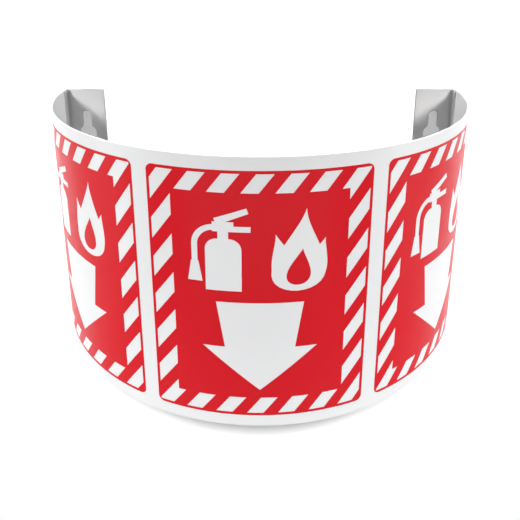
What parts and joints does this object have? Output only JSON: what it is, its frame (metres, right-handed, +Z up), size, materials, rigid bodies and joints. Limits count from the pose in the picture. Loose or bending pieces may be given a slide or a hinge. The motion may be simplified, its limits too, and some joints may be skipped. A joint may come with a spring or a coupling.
{
  "type": "projecting fire extinguisher sign",
  "caption": "Half-round white wall sign with red striped panels, an extinguisher and flame pictogram and a down arrow, hung by keyhole angle brackets.",
  "frame": {"origin": "on the wall plane, midway between the left and right ends and midway up the sign, which is the centre of the rectangle of the keyholes' round entries", "axes": "+X to the right as seen from the front, +Y back into the wall, +Z up. The sign faces and projects towards -Y."},
  "size_m": [0.356, 0.1872, 0.203],
  "materials": {
    "sheet_plastic": "smooth white, semi-gloss",
    "bracket_plastic": "white, satin",
    "red_print": "red printed ink, semi-gloss"
  },
  "bodies": {
    "root": {"sign_sheet": "sheet_plastic", "bracket_left": "bracket_plastic", "bracket_right": "bracket_plastic", "print_left": "red_print", "print_centre": "red_print", "print_right": "red_print"}
  },
  "joints": []
}
